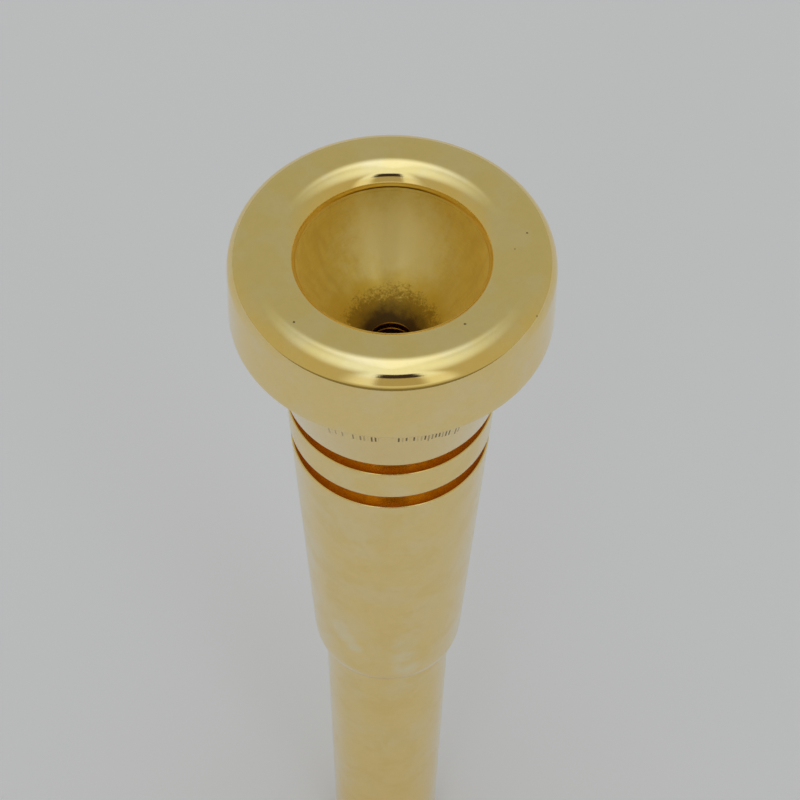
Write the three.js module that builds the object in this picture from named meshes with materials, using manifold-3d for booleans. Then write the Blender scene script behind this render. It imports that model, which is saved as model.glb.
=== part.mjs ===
// Modular trumpet mouthpiece in gold-plated brass.
// Millimetres, +Z up, the shank's end face on z = 0, every piece on the Z axis.
// From the top: screw rim, cup, backbore with shank, and a weight sleeve on O-rings.
import * as THREE from 'three';
import { mergeVertices } from 'three/addons/utils/BufferGeometryUtils.js';
import Module from 'manifold-3d';

// ---- driving dimensions (mm) ----
const SEG = 40;                    // facets round the axis
const LENGTH = 87.0;               // shank end to rim crest
const RIM_R = 13.46;               // widest radius of the rim band
const BITE_R = 7.83;               // inner edge of the rim
const BITE_Z = 85.58;
const CREST_R = [10.30, 10.70];    // the flat of the crest
const BAND_TOP_Z = 84.80;          // the outer rounding runs into the band here
const RIM_SEAM_Z = 79.60;          // rim skirt lands on the cup here
const SEAM = 0.03;                 // face gap at a screwed-up joint
const RIM_LIP_Z = 85.20;           // underside of the rim over the cup's wall
const RIM_BORE_R = 11.12;          // minor radius of the rim's inside thread
const CUP_ROOT_R = 11.00;          // root radius of the cup's outside thread
const THROAT_R = 1.83;             // 3.66 mm throat
const THROAT_TOP_Z = 75.14;
const STUB_TOP_Z = 74.55;          // backbore's upper face, under the cup's throat
const STUB_ROOT_R = 4.60;
const CUP_BORE_R = 4.72;
const GROOVE1 = { top: 69.95, bottom: 68.25, floor: 8.00 };
const GROOVE2 = { top: 64.90, bottom: 63.16, floor: 7.75 };
const CORE_R = 5.68;               // backbore's cylindrical core under the sleeve
const SLEEVE_BORE_R = 5.78;
const SLEEVE_BOTTOM_Z = 32.50;
const SHANK_TOP_R = 5.66;
const SHANK_END_R = 4.86;          // 1:20 taper
const BACKBORE_END_R = 4.28;
const PITCH = 1.00;                // both screw threads, right-handed
const GLAND_R = 4.85;              // floor of the sleeve O-ring glands
const GLAND_W = 1.30;
const GLAND_Z = [38.0, 60.0];

const wasm = await Module();
wasm.setup();

// ---- helpers ----
function weld(geometry) {
  const g = geometry.clone();
  g.deleteAttribute('uv');
  g.deleteAttribute('normal');
  return mergeVertices(g, 1e-5);
}

// A closed ring of [r, z] points turned round the Z axis, facing out.
function turned(points) {
  let area = 0;
  for (let i = 0; i < points.length; i++) {
    const [r0, z0] = points[i], [r1, z1] = points[(i + 1) % points.length];
    area += r0 * z1 - r1 * z0;
  }
  const ring = area > 0 ? points : [...points].reverse();
  const profile = [...ring, ring[0]].map(([r, z]) => new THREE.Vector2(r, z));
  const g = new THREE.LatheGeometry(profile, SEG);
  g.rotateX(Math.PI / 2);
  return weld(g);
}

// A trapezoid swept along a right-handed helix. section: [r, half-width] inner and outer.
function helix(z0, turnFrom, turnTo, inner, outer) {
  const first = Math.round(turnFrom * SEG), last = Math.round(turnTo * SEG);
  const corners = [[inner[0], -inner[1]], [outer[0], -outer[1]], [outer[0], outer[1]], [inner[0], inner[1]]];
  const pos = [], idx = [];
  for (let i = first; i <= last; i++) {
    const a = (i / SEG) * 2 * Math.PI, z = z0 + PITCH * i / SEG;
    for (const [r, dz] of corners) pos.push(r * Math.cos(a), r * Math.sin(a), z + dz);
  }
  const n = last - first;
  for (let i = 0; i < n; i++) {
    for (let k = 0; k < 4; k++) {
      const a = i * 4 + k, b = i * 4 + (k + 1) % 4, c = a + 4, d = b + 4;
      idx.push(a, c, b, b, c, d);
    }
  }
  idx.push(0, 1, 2, 0, 2, 3);
  const e = n * 4;
  idx.push(e, e + 2, e + 1, e, e + 3, e + 2);
  const g = new THREE.BufferGeometry();
  g.setAttribute('position', new THREE.Float32BufferAttribute(pos, 3));
  g.setIndex(idx);
  return g;
}

function solid(geometry) {
  const p = geometry.attributes.position.array, t = Uint32Array.from(geometry.index.array);
  let v = 0;
  for (let i = 0; i < t.length; i += 3) {
    const [a, b, c] = [t[i] * 3, t[i + 1] * 3, t[i + 2] * 3];
    v += p[a] * (p[b + 1] * p[c + 2] - p[b + 2] * p[c + 1])
       - p[a + 1] * (p[b] * p[c + 2] - p[b + 2] * p[c])
       + p[a + 2] * (p[b] * p[c + 1] - p[b + 1] * p[c]);
  }
  if (v < 0) for (let i = 0; i < t.length; i += 3) [t[i + 1], t[i + 2]] = [t[i + 2], t[i + 1]];
  return new wasm.Manifold(new wasm.Mesh({ numProp: 3, vertProperties: Float32Array.from(p), triVerts: t }));
}

function fromSolid(m) {
  const mesh = m.getMesh();
  const g = new THREE.BufferGeometry();
  g.setAttribute('position', new THREE.Float32BufferAttribute(Float32Array.from(mesh.vertProperties), 3));
  g.setIndex(Array.from(mesh.triVerts));
  return g;
}

// A round cord ring: centre radius and height, cord radius.
function oRing(r, z, cord) {
  const pts = [];
  for (let i = 0; i < 6; i++) {
    const a = i / 6 * 2 * Math.PI;
    pts.push([r + cord * Math.cos(a), z + cord * Math.sin(a)]);
  }
  return turned(pts);
}

const group = new THREE.Group();
function piece(name, geometry, color, roughness, metalness) {
  const g = geometry.index ? geometry.toNonIndexed() : geometry;
  g.computeVertexNormals();
  const mesh = new THREE.Mesh(g, new THREE.MeshStandardMaterial({ color, roughness, metalness }));
  mesh.name = name;
  group.add(mesh);
}

// ---- rim: crest, bite edge and outer band in one ring, with a thread inside its skirt ----
// A superelliptic quarter from the crest (level) to the side (upright), as [r, z] points.
function rounding(crestR, sideR, sideZ, power, steps) {
  const pts = [];
  for (let i = 0; i <= steps; i++) {
    const t = (i / steps) * Math.PI / 2;
    pts.push([crestR + (sideR - crestR) * Math.sin(t) ** (2 / power), sideZ + (LENGTH - sideZ) * Math.abs(Math.cos(t)) ** (2 / power)]);
  }
  pts[steps] = [sideR, sideZ];
  return pts;
}
const rimRing = turned([
  [13.40, RIM_SEAM_Z + SEAM], [RIM_R, RIM_SEAM_Z + SEAM + 0.08], [13.44, 82.20],
  ...rounding(CREST_R[1], 13.42, BAND_TOP_Z, 2.5, 11).reverse(),
  ...rounding(CREST_R[0], BITE_R, BITE_Z, 2.3, 8), [7.81, RIM_LIP_Z],
  [RIM_BORE_R, RIM_LIP_Z], [RIM_BORE_R, RIM_SEAM_Z + 0.35], [11.42, RIM_SEAM_Z + SEAM],
]);
const RIM_THREAD_Z = 80.60;
const rimThread = helix(RIM_THREAD_Z, -2, 3 + 1 / 6, [RIM_BORE_R - 0.10, 0.448], [CUP_ROOT_R + 0.62, 0.16]);
const rim = solid(rimRing).subtract(solid(rimThread));

// ---- cup: bowl, throat entry, outside cone and undercut shoulder, threads at both ends ----
const cupBody = turned([
  [7.80, RIM_LIP_Z - SEAM], [7.75, 84.40], [7.61, 83.50], [7.35, 82.50], [6.94, 81.50], [6.40, 80.50],
  [5.76, 79.50], [5.00, 78.55], [4.20, 77.68], [3.42, 76.86], [2.72, 76.12], [2.20, 75.58],
  [THROAT_R, THROAT_TOP_Z], [THROAT_R, STUB_TOP_Z + SEAM],
  [CUP_BORE_R, STUB_TOP_Z + SEAM], [CUP_BORE_R, GROOVE1.bottom + 0.45], [5.00, GROOVE1.bottom + SEAM],
  [5.90, GROOVE1.bottom + SEAM], [5.90, 69.25], [7.10, 69.25], [7.10, GROOVE1.bottom + SEAM],
  [GROOVE1.floor, GROOVE1.bottom + SEAM], [GROOVE1.floor, GROOVE1.top],
  [9.00, GROOVE1.top], [9.06, 70.01], [10.46, 75.60], [10.63, 76.15], [10.87, 76.70], [11.21, 77.25],
  [11.65, 77.75], [13.34, 79.43], [13.40, 79.52],
  [13.40, RIM_SEAM_Z], [CUP_ROOT_R, RIM_SEAM_Z], [CUP_ROOT_R, 84.10],
  [9.95, 84.10], [9.95, RIM_LIP_Z - SEAM],
]);
const cupOutsideThread = helix(RIM_THREAD_Z, 0, 3, [CUP_ROOT_R - 0.20, 0.416], [CUP_ROOT_R + 0.50, 0.08]);
const STUB_THREAD_Z = 69.90;
const cupInsideThread = helix(STUB_THREAD_Z, -2.5, 3 + 1 / 6, [CUP_BORE_R - 0.10, 0.44], [STUB_ROOT_R + 0.52, 0.18]);
const cup = solid(cupBody).add(solid(cupOutsideThread)).subtract(solid(cupInsideThread));

// ---- backbore and shank: threaded stub, collar between the grooves, core with two glands, taper ----
const glands = GLAND_Z.flatMap((z) => [
  [CORE_R, z - GLAND_W / 2], [GLAND_R, z - GLAND_W / 2], [GLAND_R, z + GLAND_W / 2], [CORE_R, z + GLAND_W / 2],
]);
const backboreBody = turned([
  [BACKBORE_END_R, 0], [SHANK_END_R - 0.07, 0], [SHANK_END_R, 0.10], [SHANK_TOP_R, 32.47],
  [CORE_R, 32.60], ...glands, [CORE_R, GROOVE2.top],
  [8.60, GROOVE2.top], [8.67, GROOVE2.top + 0.07], [8.82, GROOVE1.bottom - 0.07], [8.75, GROOVE1.bottom],
  [STUB_ROOT_R, GROOVE1.bottom], [STUB_ROOT_R, STUB_TOP_Z - 0.35], [4.25, STUB_TOP_Z],
  [THROAT_R, STUB_TOP_Z], [THROAT_R, 68.00], [2.05, 62.00], [2.45, 52.00], [2.95, 40.00],
  [3.44, 27.00], [3.88, 13.00],
]);
const stubThread = helix(STUB_THREAD_Z, 0, 3, [STUB_ROOT_R - 0.20, 0.40], [STUB_ROOT_R + 0.40, 0.10]);
const backbore = solid(backboreBody).add(solid(stubThread));

// ---- weight sleeve: cone with a rounded foot, a neck at the top that floors the lower groove ----
const sleeve = turned([
  [SLEEVE_BORE_R, 32.90], [5.73, 32.70], [5.73, SLEEVE_BOTTOM_Z - 0.06], [5.80, SLEEVE_BOTTOM_Z - 0.06],
  [6.14, 32.85], [6.40, 33.37], [6.61, 34.05], [6.73, 35.06],
  [8.53, GROOVE2.bottom - 0.07], [8.46, GROOVE2.bottom], [GROOVE2.floor, GROOVE2.bottom],
  [GROOVE2.floor, GROOVE2.top - SEAM], [SLEEVE_BORE_R + 0.25, GROOVE2.top - SEAM], [SLEEVE_BORE_R, 64.60],
]);

const GOLD = 0xd0b064, RUBBER = 0x17171a;
piece('rim', fromSolid(rim), GOLD, 0.12, 1.0);
piece('rim_seal', oRing(10.50, 84.63, 0.47), RUBBER, 0.7, 0.0);
piece('cup', fromSolid(cup), GOLD, 0.22, 1.0);
piece('cup_seal', oRing(6.50, 68.78, 0.45), RUBBER, 0.7, 0.0);
piece('backbore_shank', fromSolid(backbore), GOLD, 0.2, 1.0);
piece('weight_sleeve', sleeve, GOLD, 0.2, 1.0);
piece('sleeve_oring_upper', oRing(5.30, GLAND_Z[1], 0.44), RUBBER, 0.7, 0.0);
piece('sleeve_oring_lower', oRing(5.30, GLAND_Z[0], 0.44), RUBBER, 0.7, 0.0);

export default group;
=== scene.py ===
import math

import bpy
import numpy as np
from mathutils import Matrix, Vector


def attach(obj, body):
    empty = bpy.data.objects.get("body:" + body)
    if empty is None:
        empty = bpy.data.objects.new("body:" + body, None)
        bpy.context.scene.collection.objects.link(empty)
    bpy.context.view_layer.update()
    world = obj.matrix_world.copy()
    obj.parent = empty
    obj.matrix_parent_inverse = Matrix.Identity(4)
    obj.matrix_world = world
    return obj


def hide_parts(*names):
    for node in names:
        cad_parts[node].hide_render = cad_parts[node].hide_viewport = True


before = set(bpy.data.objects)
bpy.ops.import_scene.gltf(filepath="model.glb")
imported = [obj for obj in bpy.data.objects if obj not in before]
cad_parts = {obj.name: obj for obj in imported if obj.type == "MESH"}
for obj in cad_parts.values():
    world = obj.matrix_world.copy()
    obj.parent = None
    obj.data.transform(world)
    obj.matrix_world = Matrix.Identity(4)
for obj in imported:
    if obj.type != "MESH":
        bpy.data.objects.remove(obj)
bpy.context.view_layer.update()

MM = 0.001
N = 288                       # columns round the axis
scene = bpy.context.scene

# ------------------------------------------------------------------ dimensions (mm), as in the CAD source
LENGTH = 87.0
RIM_R = 13.46
BITE_R, BITE_Z = 7.83, 85.58
CREST_R = (10.30, 10.70)
BAND_TOP_Z = 84.80
RIM_SEAM_Z = 79.60
RIM_LIP_Z = 85.20
RIM_BORE_R, CUP_ROOT_R = 11.12, 11.00
THROAT_R, THROAT_TOP_Z = 1.83, 75.14
STUB_TOP_Z, STUB_ROOT_R, CUP_BORE_R = 74.55, 4.60, 4.72
G1_TOP, G1_BOTTOM, G1_FLOOR = 69.95, 68.25, 8.00
G2_TOP, G2_BOTTOM, G2_FLOOR = 64.90, 63.16, 7.75
CORE_R, SLEEVE_BORE_R = 5.68, 5.78
PITCH = 1.0
RIM_THREAD_Z, STUB_THREAD_Z = 80.60, 69.90
GLAND_R, GLAND_W, GLAND_Z = 4.85, 1.30, (38.0, 60.0)


# ------------------------------------------------------------------ profile helpers
def spline(points, per=8):
    """A smooth line through [r, z] points (natural cubic by chord length), without its last point."""
    p = np.array(points, float)
    t = np.r_[0, np.cumsum(np.linalg.norm(np.diff(p, axis=0), axis=1))]
    n = len(p)
    h = np.diff(t)
    a = np.zeros((n, n))
    b = np.zeros((n, 2))
    a[0, 0] = a[-1, -1] = 1
    for i in range(1, n - 1):
        a[i, i - 1], a[i, i], a[i, i + 1] = h[i - 1], 2 * (h[i - 1] + h[i]), h[i]
        b[i] = 6 * ((p[i + 1] - p[i]) / h[i] - (p[i] - p[i - 1]) / h[i - 1])
    m = np.linalg.solve(a, b)
    out = []
    for i in range(n - 1):
        for k in range(per):
            s = h[i] * k / per
            u = h[i] - s
            q = (m[i] * u**3 + m[i + 1] * s**3) / (6 * h[i]) + (p[i] / h[i] - m[i] * h[i] / 6) * u + (p[i + 1] / h[i] - m[i + 1] * h[i] / 6) * s
            out.append((float(q[0]), float(q[1])))
    return out


def line(a, b, step=1.0):
    """Points from a towards b no more than step apart, without b."""
    n = max(1, int(math.ceil(math.hypot(b[0] - a[0], b[1] - a[1]) / step)))
    return [(a[0] + (b[0] - a[0]) * i / n, a[1] + (b[1] - a[1]) * i / n) for i in range(n)]


def rounding(crest_r, side_r, side_z, power, steps):
    """A superelliptic quarter from the crest (level) to the side (upright)."""
    out = []
    for i in range(steps + 1):
        t = (i / steps) ** 1.15 * math.pi / 2
        out.append((crest_r + (side_r - crest_r) * math.sin(t) ** (2 / power),
                    side_z + (LENGTH - side_z) * max(0.0, math.cos(t)) ** (2 / power)))
    return out


def fillet(a, corner, b, radius, n=5):
    """The rounded corner between lines a-corner and corner-b, as points from one tangent point to the other."""
    a, c, b = (np.array(p, float) for p in (a, corner, b))
    u, v = (a - c) / np.linalg.norm(a - c), (b - c) / np.linalg.norm(b - c)
    half = math.acos(max(-1, min(1, float(u @ v)))) / 2
    d = radius / math.tan(half)
    centre = c + (u + v) / np.linalg.norm(u + v) * (radius / math.sin(half))
    p, q = c + u * d - centre, c + v * d - centre
    turn = math.acos(max(-1, min(1, float(p @ q) / (radius * radius))))
    sign = 1 if p[0] * q[1] - p[1] * q[0] > 0 else -1
    out = []
    for i in range(n + 1):
        t = sign * turn * i / n
        out.append((float(centre[0] + p[0] * math.cos(t) - p[1] * math.sin(t)), float(centre[1] + p[0] * math.sin(t) + p[1] * math.cos(t))))
    return out


# ------------------------------------------------------------------ meshes
class Turning:
    """Rows of a turned piece. A row is r and z for every column; a threaded stretch shears its rows along the helix."""

    def __init__(self):
        self.rows, self.mats = [], []
        self.angle = np.arange(N + 1) / N * 2 * math.pi

    def add(self, points, mat):
        for r, z in points:
            self.rows.append((np.full(N + 1, r), np.full(N + 1, z)))
            self.mats.append(mat)
        return self

    def thread(self, z_from, z_to, base, tip, half_base, half_tip, z0, turns, mat):
        """A screw thread on a straight wall: ridge (tip > base on a shaft) or groove, z0 is its centre at column 0 of turn 0."""
        up = z_to > z_from
        lo, hi = min(z_from, z_to), max(z_from, z_to)
        marks = [(-half_base, 0.0), (-half_tip, 1.0), (half_tip, 1.0), (half_base, 0.0)]
        first = math.floor((lo - z0) / PITCH) - 2
        last = math.ceil((hi - z0) / PITCH) + 2
        made = []
        for k in range(first, last + 1):
            for dz, share in marks:
                t = k + self.angle / (2 * math.pi)
                z = z0 + PITCH * t + dz
                fade = np.clip((t - turns[0]) / 0.06, 0, 1) * np.clip((turns[1] - t) / 0.06, 0, 1)
                inside = np.clip((z - lo) / 0.05, 0, 1) * np.clip((hi - z) / 0.05, 0, 1)
                r = base + (tip - base) * share * fade * inside
                made.append((r, np.clip(z, lo, hi)))
        if not up:
            made.reverse()
        for row in made:
            self.rows.append(row)
            self.mats.append(mat)
        return self

    def build(self, name, materials, sharp=32.0):
        rows = self.rows
        m = len(rows)
        r = np.array([x[0] for x in rows])
        z = np.array([x[1] for x in rows])
        ang = self.angle.copy()
        ang[-1] = 0.0
        co = np.stack([r * np.cos(ang), r * np.sin(ang), z], -1).reshape(-1, 3)
        key = np.round(co / 2e-6).astype(np.int64)
        _, first_at, back = np.unique(key, axis=0, return_index=True, return_inverse=True)
        back = back.reshape(-1)
        verts = co[first_at] * MM
        area = 0.0
        for i in range(m):
            j = (i + 1) % m
            area += r[i, 0] * z[j, 0] - r[j, 0] * z[i, 0]
        faces, mats = [], []
        names = [x.name for x in materials]
        for i in range(m):
            j = (i + 1) % m
            row_i, row_j = back[i * (N + 1):(i + 1) * (N + 1)], back[j * (N + 1):(j + 1) * (N + 1)]
            index = names.index(self.mats[i].name)
            for c in range(N):
                quad = [row_i[c], row_i[c + 1], row_j[c + 1], row_j[c]]
                if area < 0:
                    quad.reverse()
                kept = []
                for v in quad:
                    if v not in kept:
                        kept.append(int(v))
                if len(kept) >= 3:
                    faces.append(kept)
                    mats.append(index)
        mesh = bpy.data.meshes.new(name)
        mesh.from_pydata([tuple(v) for v in verts], [], faces)
        for x in materials:
            mesh.materials.append(x)
        mesh.polygons.foreach_set("material_index", mats)
        mesh.polygons.foreach_set("use_smooth", [True] * len(mesh.polygons))
        mesh.update()
        mesh.validate()
        mesh.set_sharp_from_angle(angle=math.radians(sharp))
        obj = bpy.data.objects.new(name, mesh)
        scene.collection.objects.link(obj)
        return obj


def ring(name, r, z, cord, material, flat=None):
    """A round rubber cord ring."""
    k = 28
    ang = np.arange(N) / N * 2 * math.pi
    verts, faces = [], []
    for a in ang:
        for i in range(k):
            t = i / k * 2 * math.pi
            rr, zz = r + cord * math.cos(t), z + cord * math.sin(t)
            verts.append((rr * math.cos(a) * MM, rr * math.sin(a) * MM, zz * MM))
    for c in range(N):
        d = (c + 1) % N
        for i in range(k):
            j = (i + 1) % k
            faces.append((c * k + i, d * k + i, d * k + j, c * k + j))
    mesh = bpy.data.meshes.new(name)
    mesh.from_pydata(verts, [], faces)
    mesh.materials.append(material)
    mesh.polygons.foreach_set("use_smooth", [True] * len(mesh.polygons))
    mesh.update()
    obj = bpy.data.objects.new(name, mesh)
    scene.collection.objects.link(obj)
    return obj


# ------------------------------------------------------------------ materials
GOLD = (0.93, 0.717, 0.300)


class Nodes:
    def __init__(self, name):
        self.mat = bpy.data.materials.new(name)
        self.mat.use_nodes = True
        self.tree = self.mat.node_tree
        self.tree.nodes.clear()
        self.out = self.tree.nodes.new("ShaderNodeOutputMaterial")
        self.bsdf = self.tree.nodes.new("ShaderNodeBsdfPrincipled")
        self.tree.links.new(self.bsdf.outputs[0], self.out.inputs[0])
        tc = self.tree.nodes.new("ShaderNodeTexCoord")
        mp = self.tree.nodes.new("ShaderNodeMapping")
        mp.inputs["Scale"].default_value = (1000.0, 1000.0, 1000.0)   # millimetres
        self.tree.links.new(tc.outputs["Object"], mp.inputs["Vector"])
        self.mm = mp.outputs[0]
        sep = self.tree.nodes.new("ShaderNodeSeparateXYZ")
        self.tree.links.new(self.mm, sep.inputs[0])
        self.x, self.y, self.z = sep.outputs
        self.radius = self.math("SQRT", self.math("ADD", self.math("MULTIPLY", self.x, self.x), self.math("MULTIPLY", self.y, self.y)))

    def put(self, socket, value):
        if hasattr(value, "is_linked") or isinstance(value, bpy.types.NodeSocket):
            self.tree.links.new(value, socket)
        else:
            socket.default_value = value

    def math(self, op, a, b=None, c=None, clamp=False):
        n = self.tree.nodes.new("ShaderNodeMath")
        n.operation = op
        n.use_clamp = clamp
        for i, v in enumerate((a, b, c)):
            if v is not None:
                self.put(n.inputs[i], v)
        return n.outputs[0]

    def noise(self, scale, detail=3.0, rough=0.5, vector=None, stretch=None, offset=(0, 0, 0)):
        vector = self.mm if vector is None else vector
        if stretch or offset != (0, 0, 0):
            mp = self.tree.nodes.new("ShaderNodeMapping")
            mp.inputs["Scale"].default_value = stretch or (1, 1, 1)
            mp.inputs["Location"].default_value = offset
            self.tree.links.new(vector, mp.inputs["Vector"])
            vector = mp.outputs[0]
        n = self.tree.nodes.new("ShaderNodeTexNoise")
        n.inputs["Scale"].default_value = scale
        n.inputs["Detail"].default_value = detail
        n.inputs["Roughness"].default_value = rough
        self.tree.links.new(vector, n.inputs["Vector"])
        return n.outputs[0]

    def noise1(self, value, scale, detail=2.0):
        n = self.tree.nodes.new("ShaderNodeTexNoise")
        n.noise_dimensions = "1D"
        n.inputs["Scale"].default_value = scale
        n.inputs["Detail"].default_value = detail
        self.put(n.inputs["W"], value)
        return n.outputs[0]

    def ramp(self, value, low, high, to_low=0.0, to_high=1.0, smooth=True):
        n = self.tree.nodes.new("ShaderNodeMapRange")
        n.interpolation_type = "SMOOTHSTEP" if smooth else "LINEAR"
        n.clamp = True
        self.put(n.inputs["Value"], value)
        for k, v in zip(("From Min", "From Max", "To Min", "To Max"), (low, high, to_low, to_high)):
            n.inputs[k].default_value = v
        return n.outputs[0]

    def mix(self, factor, a, b):
        n = self.tree.nodes.new("ShaderNodeMix")
        n.data_type = "RGBA"
        self.put(n.inputs[0], factor)
        for socket, v in ((n.inputs[6], a), (n.inputs[7], b)):
            self.put(socket, (*v, 1.0) if isinstance(v, tuple) and len(v) == 3 else v)
        return n.outputs[2]

    def bump(self, height, strength, distance):
        n = self.tree.nodes.new("ShaderNodeBump")
        n.inputs["Strength"].default_value = strength
        n.inputs["Distance"].default_value = distance
        self.tree.links.new(height, n.inputs["Height"])
        if self.bsdf.inputs["Normal"].is_linked:
            self.tree.links.new(self.bsdf.inputs["Normal"].links[0].from_socket, n.inputs["Normal"])
        self.tree.links.new(n.outputs[0], self.bsdf.inputs["Normal"])

    def speck(self, x, y, z, size):
        """1 inside a small irregular spot at that point (mm)."""
        d = self.tree.nodes.new("ShaderNodeVectorMath")
        d.operation = "DISTANCE"
        self.tree.links.new(self.mm, d.inputs[0])
        d.inputs[1].default_value = (x, y, z)
        wobble = self.math("MULTIPLY", self.math("SUBTRACT", self.noise(9.0, 1.0), 0.5), size * 0.9)
        return self.ramp(self.math("ADD", d.outputs["Value"], wobble), size, size * 0.6)

    def set(self, **values):
        names = {"base": "Base Color", "metallic": "Metallic", "roughness": "Roughness"}
        for k, v in values.items():
            socket = self.bsdf.inputs[names.get(k, k)]
            self.put(socket, (*v, 1.0) if isinstance(v, tuple) and len(v) == 3 else v)
        return self.mat


def gold(name, rough, rough_vary=0.04, cloud=0.10, cloud_scale=0.16, tint=GOLD, pale=(0.91, 0.75, 0.42), scratch=0.0, grazing_sheen=0.0, extra=None):
    m = Nodes(name)
    big = m.noise(cloud_scale, 4.0, 0.55)
    base = m.mix(m.ramp(big, 0.42, 0.66, 0.0, cloud), tint, pale)
    fine = m.noise(1.3, 5.0, 0.65, offset=(3.1, 7.7, 1.9))
    base = m.mix(m.ramp(fine, 0.38, 0.68, 0.0, 0.16), base, tuple(c * 0.86 for c in tint))
    r = m.math("ADD", m.math("MULTIPLY", m.math("SUBTRACT", m.noise(0.5, 4.0, 0.6, offset=(9.0, 2.0, 5.0)), 0.5), rough_vary * 2), rough)
    if grazing_sheen:
        # painted sheen: the base colour turns a pale grey-white where the surface is seen edge-on
        facing = m.tree.nodes.new("ShaderNodeLayerWeight")
        facing.inputs["Blend"].default_value = 0.5
        base = m.mix(m.ramp(facing.outputs["Facing"], 0.58, 0.97, 0.0, grazing_sheen), base, (0.90, 0.87, 0.77))
    if extra:
        base, r = extra(m, base, r)
    if scratch:
        h = m.noise(2.2, 5.0, 0.75, stretch=(6.0, 0.7, 2.0))
        m.bump(h, 1.0, scratch * MM)
    return m.set(base=base, metallic=1.0, roughness=r)


def specks(m, base, r):
    """The few dark pits on the plating of the rim."""
    spots = None
    for at in ((-7.68, -7.65, 87.0, 0.13), (5.86, -7.53, 86.95, 0.13), (10.86, 1.95, 87.0, 0.10), (9.87, 0.25, 86.99, 0.07), (11.61, -5.97, 86.16, 0.10)):
        s = m.speck(*at)
        spots = s if spots is None else m.math("MAXIMUM", spots, s)
    base = m.mix(m.math("MULTIPLY", spots, 0.85), base, (0.10, 0.06, 0.03))
    r = m.math("ADD", r, m.math("MULTIPLY", spots, 0.3))
    return base, r


rim_gold = gold("rim_polished_gold", 0.065, 0.045, cloud=0.55, cloud_scale=0.30, scratch=0.0012, extra=specks)


def worn_patches(m, base, r):
    """Cloudy, paler patches where the plating is worn by handling, above the sleeve's foot."""
    patch = None
    for at, size in (((-4.3, -5.7, 40.6), 1.5), ((-3.7, -6.0, 39.4), 1.5), ((-3.0, -6.2, 38.4), 1.3), ((1.7, -6.8, 39.4), 1.7), ((1.75, -6.7, 37.6), 1.9), ((1.75, -6.5, 35.6), 1.8)):
        d = m.tree.nodes.new("ShaderNodeVectorMath")
        d.operation = "DISTANCE"
        m.tree.links.new(m.mm, d.inputs[0])
        d.inputs[1].default_value = at
        ragged = m.math("MULTIPLY", m.math("SUBTRACT", m.noise(0.8, 4.0, 0.6), 0.5), 1.0)
        one = m.ramp(m.math("ADD", d.outputs["Value"], ragged), size, size * 0.30)
        patch = one if patch is None else m.math("MAXIMUM", patch, one)
    base = m.mix(m.math("MULTIPLY", patch, 0.45), base, (0.90, 0.85, 0.64))
    blotch = m.ramp(m.noise(0.34, 4.0, 0.62, offset=(4.0, 1.5, 7.0)), 0.48, 0.62, 0.0, 0.45)
    base = m.mix(blotch, base, (0.88, 0.66, 0.235))
    return base, r


def engraving(m, base, r):
    """Plain strokes that stand for the small engraved line on the cup; they spell nothing."""
    az = m.math("MULTIPLY", m.math("ARCTAN2", m.x, m.math("MULTIPLY", m.y, -1.0)), 57.29578)
    step = m.math("DIVIDE", az, 1.75)
    cell = m.math("FLOOR", step)
    part = m.math("FRACT", step)
    pick = m.noise1(m.math("MULTIPLY", cell, 0.731), 1.0, 1.0)
    stroke = m.math("MULTIPLY", m.ramp(part, 0.14, 0.24), m.ramp(part, 0.70, 0.60))
    stroke = m.math("MULTIPLY", stroke, m.ramp(pick, 0.42, 0.50, 0.10, 1.0))
    groups = None
    for a, b in ((-30.0, -21.5), (-17.0, -5.0), (3.5, 34.0)):
        g = m.math("MULTIPLY", m.ramp(az, a - 0.3, a), m.ramp(az, b + 0.3, b))
        groups = g if groups is None else m.math("MAXIMUM", groups, g)
    middle = m.math("SUBTRACT", 75.35, m.math("MULTIPLY", m.math("MULTIPLY", az, az), 0.0009))
    off = m.math("ABSOLUTE", m.math("SUBTRACT", m.z, middle))
    reach = m.math("ADD", m.math("MULTIPLY", m.noise1(m.math("MULTIPLY", cell, 1.37), 1.0, 1.0), 0.9), 0.12)
    tall = m.ramp(m.math("SUBTRACT", off, reach), 0.08, -0.04)
    fade = m.ramp(m.math("ABSOLUTE", m.math("SUBTRACT", az, 8.0)), 36.0, 14.0, 0.35, 0.85)
    cut = m.math("MULTIPLY", m.math("MULTIPLY", stroke, groups), m.math("MULTIPLY", tall, fade))
    base = m.mix(cut, base, (0.10, 0.075, 0.035))
    r = m.math("ADD", r, m.math("MULTIPLY", cut, 0.3), clamp=True)
    return base, r


body_gold = gold("body_gold", 0.20, 0.05, cloud=0.65, cloud_scale=0.16, grazing_sheen=0.4, extra=worn_patches)
cup_gold = gold("cup_outside_gold", 0.18, 0.05, cloud=0.35, cloud_scale=0.15, grazing_sheen=0.4, extra=engraving)
inner_gold = gold("inside_gold", 0.25, 0.06, cloud=0.2)


# painted shade: the grooves get a darker, deeper orange than the plating elsewhere, with some random tone
def make_groove_painted_shade(name):
    m = Nodes(name)
    n = m.noise(1.6, 4.0, 0.65, stretch=(1.0, 1.0, 3.0))
    base = m.mix(m.ramp(n, 0.35, 0.7), (0.76, 0.43, 0.055), (0.68, 0.355, 0.04))
    return m.set(base=base, metallic=1.0, roughness=m.ramp(n, 0.3, 0.8, 0.24, 0.32))


groove_gold_painted_shade = make_groove_painted_shade("groove_gold_painted_shade")


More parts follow.
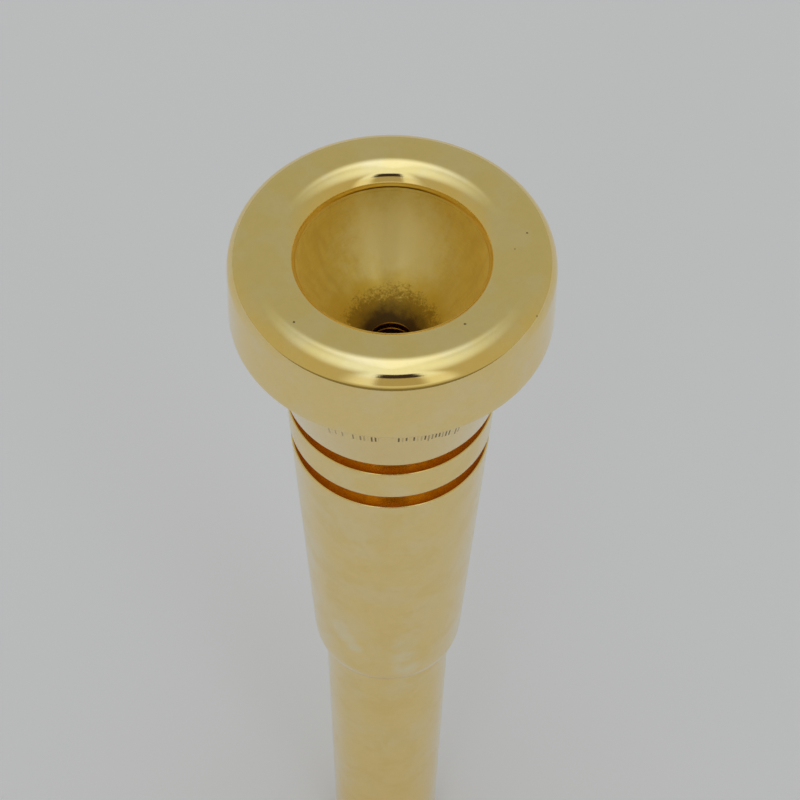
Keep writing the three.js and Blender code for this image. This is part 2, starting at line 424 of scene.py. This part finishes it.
def bowl_material():
    m = Nodes("bowl_satin_gold")
    wob = m.math("MULTIPLY", m.noise(0.30, 3.0), 0.9)
    zz = m.math("ADD", m.z, wob)
    marks = m.noise1(zz, 9.0, 5.0)
    bowl_tint = (0.98, 0.80, 0.27)
    base = m.mix(m.ramp(m.noise(0.9, 5.0, 0.65, offset=(8.0, 3.0, 1.0)), 0.40, 0.62, 0.0, 0.40), bowl_tint, (0.92, 0.70, 0.19))
    base = m.mix(m.ramp(marks, 0.4, 0.72, 0.0, 0.14), base, (0.80, 0.62, 0.22))
    fan = m.tree.nodes.new("ShaderNodeCombineXYZ")
    m.put(fan.inputs[0], m.math("DIVIDE", m.x, m.radius))
    m.put(fan.inputs[1], m.math("DIVIDE", m.y, m.radius))
    m.put(fan.inputs[2], m.math("MULTIPLY", m.z, 0.05))
    streak = m.noise(7.0, 4.0, 0.62, vector=fan.outputs[0])
    base = m.mix(m.ramp(streak, 0.42, 0.64, 0.0, 0.36), base, (0.80, 0.58, 0.15))
    brushed = m.noise(2.2, 4.0, 0.7, stretch=(0.5, 0.5, 5.0), offset=(2.0, 9.0, 4.0))
    base = m.mix(m.ramp(brushed, 0.42, 0.66, 0.0, 0.18), base, (0.76, 0.56, 0.17))
    # painted highlight: a pale patch on the bowl's back wall, standing in for the light from above that it mirrors
    d = m.tree.nodes.new("ShaderNodeVectorMath")
    d.operation = "DISTANCE"
    m.tree.links.new(m.mm, d.inputs[0])
    d.inputs[1].default_value = (0.4, 6.6, 80.6)
    cloud = m.math("ADD", d.outputs["Value"], m.math("MULTIPLY", m.math("SUBTRACT", m.noise(0.9, 6.0, 0.70, offset=(1.0, 6.0, 3.0)), 0.5), 7.0))
    pale = m.ramp(cloud, 6.6, 1.6)
    base = m.mix(m.math("MULTIPLY", pale, 0.85), base, (1.0, 0.85, 0.45))
    # the colour more orange towards the throat
    orange_towards_throat = m.ramp(m.math("ADD", m.radius, m.math("MULTIPLY", m.math("SUBTRACT", m.noise(0.5, 3.0), 0.5), 2.4)), 5.6, 3.9)
    base = m.mix(m.math("MULTIPLY", orange_towards_throat, 0.8), base, (0.84, 0.58, 0.09))
    # tarnish, thickening towards the throat
    blot = m.noise(0.9, 6.0, 0.72, offset=(2.3, 4.1, 0.0))
    grain = m.noise(5.0, 4.0, 0.7, offset=(5.0, 1.0, 2.0))
    reach = m.ramp(m.radius, 4.9, 2.1, 0.0, 1.0, smooth=False)
    mixn = m.math("ADD", m.math("MULTIPLY", blot, 0.50), m.math("MULTIPLY", grain, 0.50))
    tarnish = m.ramp(m.math("ADD", mixn, m.math("MULTIPLY", reach, 0.55)), 0.64, 0.82)
    tarnish = m.math("MULTIPLY", tarnish, m.ramp(reach, 0.0, 0.25))
    base = m.mix(m.math("MULTIPLY", tarnish, 0.74), base, (0.42, 0.23, 0.02))
    # the colour darker towards the throat entry, down to near black
    deep = m.ramp(m.math("ADD", m.radius, m.math("MULTIPLY", m.math("SUBTRACT", blot, 0.5), 1.6)), 3.3, 2.1)
    base = m.mix(m.math("MULTIPLY", deep, 0.85), base, (0.075, 0.035, 0.025))
    rough = m.math("ADD", m.math("ADD", m.math("MULTIPLY", marks, 0.07), m.math("MULTIPLY", streak, 0.12)), 0.36)
    rough = m.math("ADD", rough, m.math("MULTIPLY", tarnish, 0.15), clamp=True)
    m.bump(marks, 1.0, 0.0025 * MM)
    tangent = m.tree.nodes.new("ShaderNodeTangent")
    tangent.direction_type = "RADIAL"
    tangent.axis = "Z"
    m.tree.links.new(tangent.outputs[0], m.bsdf.inputs["Tangent"])
    m.bsdf.inputs["Anisotropic"].default_value = 0.86
    m.bsdf.inputs["Anisotropic Rotation"].default_value = 0.25
    # the painted highlight patch is also made less metallic, so it looks brighter
    return m.set(base=base, metallic=m.math("SUBTRACT", 1.0, m.math("MULTIPLY", pale, 0.42)), roughness=rough)


bowl_gold = bowl_material()


def throat_material():
    m = Nodes("throat_gold")
    n = m.noise(1.5, 4.0, 0.6)
    base = m.mix(m.ramp(n, 0.35, 0.7), (0.60, 0.36, 0.12), (0.30, 0.14, 0.05))
    return m.set(base=base, metallic=1.0, roughness=m.ramp(n, 0.3, 0.8, 0.2, 0.35))


throat_gold = throat_material()


def rubber_material():
    m = Nodes("seal_rubber")
    n = m.noise(6.0, 4.0, 0.65)
    base = m.mix(m.ramp(n, 0.35, 0.7), (0.018, 0.018, 0.020), (0.034, 0.033, 0.034))
    m.bump(m.noise(14.0, 3.0, 0.6), 0.6, 0.006 * MM)
    return m.set(base=base, metallic=0.0, roughness=m.ramp(n, 0.3, 0.7, 0.5, 0.68))


rubber = rubber_material()

# ------------------------------------------------------------------ rim
EDGE = 0.012                       # the broken edges at the closed seams
t = Turning()
t.add([(13.385, RIM_SEAM_Z + 0.008), (13.402, RIM_SEAM_Z + 0.012), (13.412, RIM_SEAM_Z + 0.04)], rim_gold)
t.add(line((13.43, RIM_SEAM_Z + 0.20), (13.44, 82.20), 0.4), rim_gold)
t.add(line((13.44, 82.20), (13.42, 84.80), 0.4), rim_gold)
t.add(list(reversed(rounding(CREST_R[1], 13.42, BAND_TOP_Z, 2.5, 72)))[:-1], rim_gold)
t.add([(CREST_R[1], LENGTH), (10.5, LENGTH)], rim_gold)
inner = rounding(CREST_R[0], BITE_R, BITE_Z, 2.3, 56)
t.add(inner, rim_gold)
t.add(line((BITE_R, BITE_Z - 0.03), (7.812, RIM_LIP_Z + 0.02), 0.15), bowl_gold)
t.add([(7.812, RIM_LIP_Z)], inner_gold)
t.add([(11.10, RIM_LIP_Z)], inner_gold)
t.add([(RIM_BORE_R, RIM_LIP_Z - 0.03)], inner_gold)
t.thread(RIM_LIP_Z - 0.04, RIM_SEAM_Z + 0.36, RIM_BORE_R, 11.62, 0.400, 0.16, RIM_THREAD_Z, (-2, 3 + 1 / 6), inner_gold)
t.add([(RIM_BORE_R, RIM_SEAM_Z + 0.35), (11.42, RIM_SEAM_Z + 0.03), (11.46, RIM_SEAM_Z + 0.012)], inner_gold)
rim = t.build("rim_turned", [rim_gold, inner_gold, bowl_gold])

# ------------------------------------------------------------------ cup
bowl = spline([(7.80, 85.10), (7.75, 84.40), (7.61, 83.50), (7.35, 82.50), (6.94, 81.50), (6.40, 80.50), (5.75, 79.50), (5.00, 78.55),
               (4.20, 77.68), (3.42, 76.86), (2.72, 76.12), (2.20, 75.58), (1.90, 75.24)], 8)
cone = line((9.07, 70.04), (10.40, 75.35), 0.35) + spline([(10.40, 75.35), (10.455, 75.58), (10.63, 76.15), (10.87, 76.70), (11.21, 77.25), (11.65, 77.75), (11.95, 78.05)], 6)
under = line((11.95, 78.05), (13.30, 79.395), 0.3)
t = Turning()
t.add([(7.812, RIM_LIP_Z - 0.012)], bowl_gold)
t.add(bowl, bowl_gold)
t.add([(1.90, 75.24), (1.862, 75.19), (1.838, 75.15), (THROAT_R, 75.12)], throat_gold)
t.add(line((THROAT_R, 75.10), (THROAT_R, STUB_TOP_Z + 0.06), 0.15), throat_gold)
t.add([(THROAT_R, STUB_TOP_Z + 0.05), (THROAT_R + 0.04, STUB_TOP_Z + 0.012)], throat_gold)
t.add([(CUP_BORE_R, STUB_TOP_Z + 0.03)], inner_gold)
t.thread(STUB_TOP_Z + 0.02, G1_BOTTOM + 0.46, CUP_BORE_R, 5.12, 0.388, 0.18, STUB_THREAD_Z, (-2.5, 3 + 1 / 6), inner_gold)
t.add([(CUP_BORE_R, G1_BOTTOM + 0.45), (5.00, G1_BOTTOM + 0.03), (5.90, G1_BOTTOM + 0.03), (5.90, 69.25), (7.10, 69.25),
       (7.10, G1_BOTTOM + 0.03), (G1_FLOOR, G1_BOTTOM + 0.015)], inner_gold)
t.add(line((G1_FLOOR, G1_BOTTOM + 0.03), (G1_FLOOR, G1_TOP - 0.12), 0.2), groove_gold_painted_shade)
t.add(fillet((G1_FLOOR, G1_BOTTOM), (G1_FLOOR, G1_TOP), (9.0, G1_TOP), 0.12, 5), groove_gold_painted_shade)
t.add(line((G1_FLOOR + 0.14, G1_TOP), (8.99, G1_TOP), 0.2), groove_gold_painted_shade)
t.add([(9.00, G1_TOP), (9.03, G1_TOP + 0.006), (9.058, G1_TOP + 0.03)], cup_gold)
t.add(cone + under, cup_gold)
t.add([(13.30, 79.395), (13.345, 79.445), (13.378, 79.49), (13.395, 79.535), (13.400, 79.58), (13.392, RIM_SEAM_Z)], cup_gold)
t.add([(11.05, RIM_SEAM_Z)], inner_gold)
t.thread(RIM_SEAM_Z + 0.01, 84.02, CUP_ROOT_R, 11.50, 0.320, 0.08, RIM_THREAD_Z, (0, 3), inner_gold)
t.add([(CUP_ROOT_R, 84.05), (10.95, 84.10), (9.95, 84.10), (9.95, 85.10), (9.89, RIM_LIP_Z - 0.012)], inner_gold)
cup = t.build("cup_turned", [bowl_gold, throat_gold, inner_gold, groove_gold_painted_shade, cup_gold])

# ------------------------------------------------------------------ backbore and shank
backbore_line = spline([(1.83, 68.0), (2.05, 62.0), (2.45, 52.0), (2.95, 40.0), (3.44, 27.0), (3.88, 13.0), (4.26, 0.22)], 8)
t = Turning()
t.add(line((4.79, 0.0), (4.30, 0.0), 0.2), body_gold)
t.add([(4.30, 0.0), (4.27, 0.05)], inner_gold)
t.add([(4.26, 0.22)] + list(reversed(backbore_line)), inner_gold)
t.add(line((THROAT_R, 68.2), (THROAT_R, STUB_TOP_Z - 0.06), 0.5), throat_gold)
t.add([(THROAT_R, STUB_TOP_Z - 0.06), (THROAT_R + 0.05, STUB_TOP_Z)], throat_gold)
t.add([(4.25, STUB_TOP_Z)], inner_gold)
t.thread(STUB_TOP_Z - 0.35, G1_BOTTOM + 0.03, STUB_ROOT_R, 5.00, 0.300, 0.10, STUB_THREAD_Z, (0, 3), inner_gold)
t.add([(STUB_ROOT_R + 0.02, G1_BOTTOM)], inner_gold)
t.add(line((STUB_ROOT_R + 0.1, G1_BOTTOM), (G1_FLOOR, G1_BOTTOM), 0.5), inner_gold)
t.add(line((G1_FLOOR, G1_BOTTOM), (8.70, G1_BOTTOM), 0.15), groove_gold_painted_shade)
t.add([(8.72, G1_BOTTOM - 0.002), (8.755, G1_BOTTOM - 0.014), (8.79, G1_BOTTOM - 0.044), (8.812, G1_BOTTOM - 0.082), (8.818, G1_BOTTOM - 0.115)], body_gold)
t.add(line((8.818, G1_BOTTOM - 0.12), (8.676, G2_TOP + 0.10), 0.3), body_gold)
t.add([(8.672, G2_TOP + 0.07), (8.655, G2_TOP + 0.03), (8.63, G2_TOP + 0.006)], body_gold)
t.add(line((8.60, G2_TOP), (G2_FLOOR, G2_TOP), 0.2), groove_gold_painted_shade)
t.add(line((G2_FLOOR, G2_TOP), (CORE_R, G2_TOP), 0.5), inner_gold)
core = [(CORE_R, G2_TOP - 0.02)]
for gz in reversed(GLAND_Z):
    hi, lo = gz + GLAND_W / 2, gz - GLAND_W / 2
    core += line(core[-1], (CORE_R, hi + 0.04), 2.0)[1:] + [(CORE_R, hi + 0.04), (CORE_R - 0.04, hi), (GLAND_R + 0.08, hi), (GLAND_R, hi - 0.08), (GLAND_R, lo + 0.08), (GLAND_R + 0.08, lo), (CORE_R - 0.04, lo), (CORE_R, lo - 0.04)]
core += line(core[-1], (CORE_R, 32.62), 2.0)[1:]
t.add(core, inner_gold)
t.add([(CORE_R, 32.60), (5.668, 32.50)], body_gold)
t.add(line((5.66, 32.40), (4.864, 0.20), 0.8), body_gold)
t.add([(4.862, 0.14), (4.852, 0.07), (4.83, 0.025)], body_gold)
backbore = t.build("backbore_turned", [body_gold, inner_gold, throat_gold, groove_gold_painted_shade])

# ------------------------------------------------------------------ weight sleeve
foot = spline([(5.83, 32.455), (6.14, 32.85), (6.40, 33.37), (6.61, 34.05), (6.73, 35.06)], 10)
t = Turning()
t.add([(SLEEVE_BORE_R, 32.90), (5.73, 32.70), (5.73, 32.50)], inner_gold)
t.add([(5.735, 32.465), (5.755, 32.445), (5.79, 32.442)], body_gold)
t.add(foot, body_gold)
t.add(line((6.73, 35.06), (8.527, 63.02), 0.7), body_gold)
t.add([(8.528, 63.045), (8.522, 63.075), (8.50, 63.115), (8.465, 63.145), (8.43, 63.158)], body_gold)
t.add(line((8.41, G2_BOTTOM), (G2_FLOOR, G2_BOTTOM), 0.15), groove_gold_painted_shade)
t.add(line((G2_FLOOR, G2_BOTTOM), (G2_FLOOR, G2_TOP - 0.02), 0.2), groove_gold_painted_shade)
t.add([(G2_FLOOR, G2_TOP - 0.015), (6.03, G2_TOP - 0.015)], inner_gold)
t.add(line((SLEEVE_BORE_R, 64.60), (SLEEVE_BORE_R, 32.95), 1.5), inner_gold)
sleeve = t.build("sleeve_turned", [body_gold, groove_gold_painted_shade, inner_gold])

# ------------------------------------------------------------------ rubber rings
rim_seal = ring("rim_seal_cord", 10.50, 84.63, 0.465, rubber)
cup_seal = ring("cup_seal_cord", 6.50, 68.78, 0.445, rubber)
upper = ring("sleeve_oring_upper_cord", 5.30, GLAND_Z[1], 0.435, rubber)
lower = ring("sleeve_oring_lower_cord", 5.30, GLAND_Z[0], 0.435, rubber)

for obj, body, node, slot in (
    (rim, "rim", "rim", "polished_gold_plate"),
    (rim_seal, "rim_seal_ring", "rim_seal", "seal_rubber"),
    (cup, "cup", "cup", "satin_gold_plate"),
    (cup_seal, "cup_seal_ring", "cup_seal", "seal_rubber"),
    (backbore, "backbore", "backbore_shank", "gold_plate"),
    (sleeve, "sleeve", "weight_sleeve", "gold_plate"),
    (upper, "backbore", "sleeve_oring_upper", "seal_rubber"),
    (lower, "backbore", "sleeve_oring_lower", "seal_rubber"),
):
    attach(obj, body)
    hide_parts(node)


# ------------------------------------------------------------------ floor, surroundings and light
def stage_plane(name, corners, material, camera=True):
    mesh = bpy.data.meshes.new(name)
    mesh.from_pydata([Vector(c) for c in corners], [], [tuple(range(len(corners)))])
    mesh.materials.append(material)
    mesh.update()
    o = bpy.data.objects.new(name, mesh)
    scene.collection.objects.link(o)
    o.visible_camera = camera
    return o


def emit(name, colour, strength=1.0):
    m = bpy.data.materials.new(name)
    m.use_nodes = True
    nt = m.node_tree
    nt.nodes.clear()
    out = nt.nodes.new("ShaderNodeOutputMaterial")
    e = nt.nodes.new("ShaderNodeEmission")
    e.inputs[0].default_value = (*colour, 1.0)
    e.inputs[1].default_value = strength
    nt.links.new(e.outputs[0], out.inputs[0])
    return m


floor_mat = Nodes("floor_pale_grey")
floor_mat.bsdf.inputs["Emission Color"].default_value = (0.030, 0.036, 0.072, 1.0)
floor_mat.bsdf.inputs["Emission Strength"].default_value = 1.0
floor_mat.set(base=floor_mat.mix(floor_mat.noise(0.05, 2.0), (0.848, 0.846, 0.938), (0.858, 0.856, 0.948)), metallic=0.0, roughness=0.9)
stage_plane("floor", [(-2.5, -0.24, -0.0002), (2.5, -0.24, -0.0002), (2.5, 3.0, -0.0002), (-2.5, 3.0, -0.0002)], floor_mat.mat)

CAM = Vector((0.81 * MM, -180.7 * MM, 303.4 * MM))
pitch = math.radians(52.6)
forward = Vector((0, math.cos(pitch), -math.sin(pitch)))
up0 = Vector((0, math.sin(pitch), math.cos(pitch)))
right0 = Vector((1, 0, 0))
roll = math.radians(0.92)
right = right0 * math.cos(roll) + up0 * math.sin(roll)
up = up0 * math.cos(roll) - right0 * math.sin(roll)

# the room as the rim mirrors it: bright soft ceiling light, a bright opening behind the camera with the
# dark shape of the photographer in it, dim warm walls
world = bpy.data.worlds.new("world")
scene.world = world
world.use_nodes = True
wt = world.node_tree
wt.nodes.clear()
w = Nodes.__new__(Nodes)
w.tree = wt
w_out = wt.nodes.new("ShaderNodeOutputWorld")
bg = wt.nodes.new("ShaderNodeBackground")
wt.links.new(bg.outputs[0], w_out.inputs[0])
tc = wt.nodes.new("ShaderNodeTexCoord")
norm = wt.nodes.new("ShaderNodeVectorMath")
norm.operation = "NORMALIZE"
wt.links.new(tc.outputs["Generated"], norm.inputs[0])
sep = wt.nodes.new("ShaderNodeSeparateXYZ")
wt.links.new(norm.outputs[0], sep.inputs[0])
dx, dy, dz = sep.outputs
DEG = 180 / math.pi
el = w.math("MULTIPLY", w.math("ARCSINE", dz), DEG)
az = w.math("MULTIPLY", w.math("ARCTAN2", dx, w.math("MULTIPLY", dy, -1.0)), DEG)   # 0 towards the camera, + to the right
side = w.math("ABSOLUTE", az)
col = w.mix(w.ramp(side, 60, 150), (0.385, 0.35, 0.215), (0.335, 0.34, 0.28))
col = w.mix(w.ramp(el, -4, -9), col, (0.17, 0.148, 0.075))
# ceiling
back_lobe = w.math("MULTIPLY", w.ramp(side, 150, 176), w.ramp(el, 55, 67))
col = w.mix(w.ramp(el, 53, 82), col, (0.72, 0.80, 0.82))
col = w.mix(back_lobe, col, (0.84, 0.95, 1.12))
# the opening
edge = w.math("MULTIPLY", w.ramp(az, -33, -17), w.ramp(az, 44, 33))
low = w.mix(w.ramp(el, 34, 60), (0.64, 0.64, 0.52), (0.72, 0.80, 0.82))
col = w.mix(w.math("MULTIPLY", edge, w.ramp(el, -4, 10)), col, low)
# the photographer
body = w.math("MULTIPLY", w.math("MULTIPLY", w.ramp(az, -12, -7), w.ramp(az, 26, 17)), w.math("MULTIPLY", w.ramp(el, 2, 12), w.ramp(el, 58, 53)))
col = w.mix(body, col, (0.335, 0.295, 0.18))
lens = w.math("MULTIPLY", w.math("MULTIPLY", w.ramp(az, -12, -9), w.ramp(az, 27, 21)), w.math("MULTIPLY", w.ramp(el, 49, 52), w.ramp(el, 70, 66.5)))
col = w.mix(lens, col, (0.030, 0.023, 0.024))
ray = wt.nodes.new("ShaderNodeLightPath")
col = w.mix(ray.outputs["Is Camera Ray"], col, (0.396, 0.401, 0.396))
wt.links.new(col, bg.inputs[0])
bg.inputs[1].default_value = 1.24

cam_data = bpy.data.cameras.new("camera")
cam_data.lens = 157.5
cam_data.sensor_width = 36.0
cam_data.clip_start, cam_data.clip_end = 0.01, 20
cam = bpy.data.objects.new("camera", cam_data)
scene.collection.objects.link(cam)
rot = Matrix((right, up, -forward)).transposed()
cam.matrix_world = Matrix.Translation(CAM) @ rot.to_4x4()
scene.camera = cam

scene.view_settings.view_transform = "Standard"
scene.cycles.max_bounces = 16
scene.cycles.glossy_bounces = 16
scene.cycles.sample_clamp_indirect = 6.0
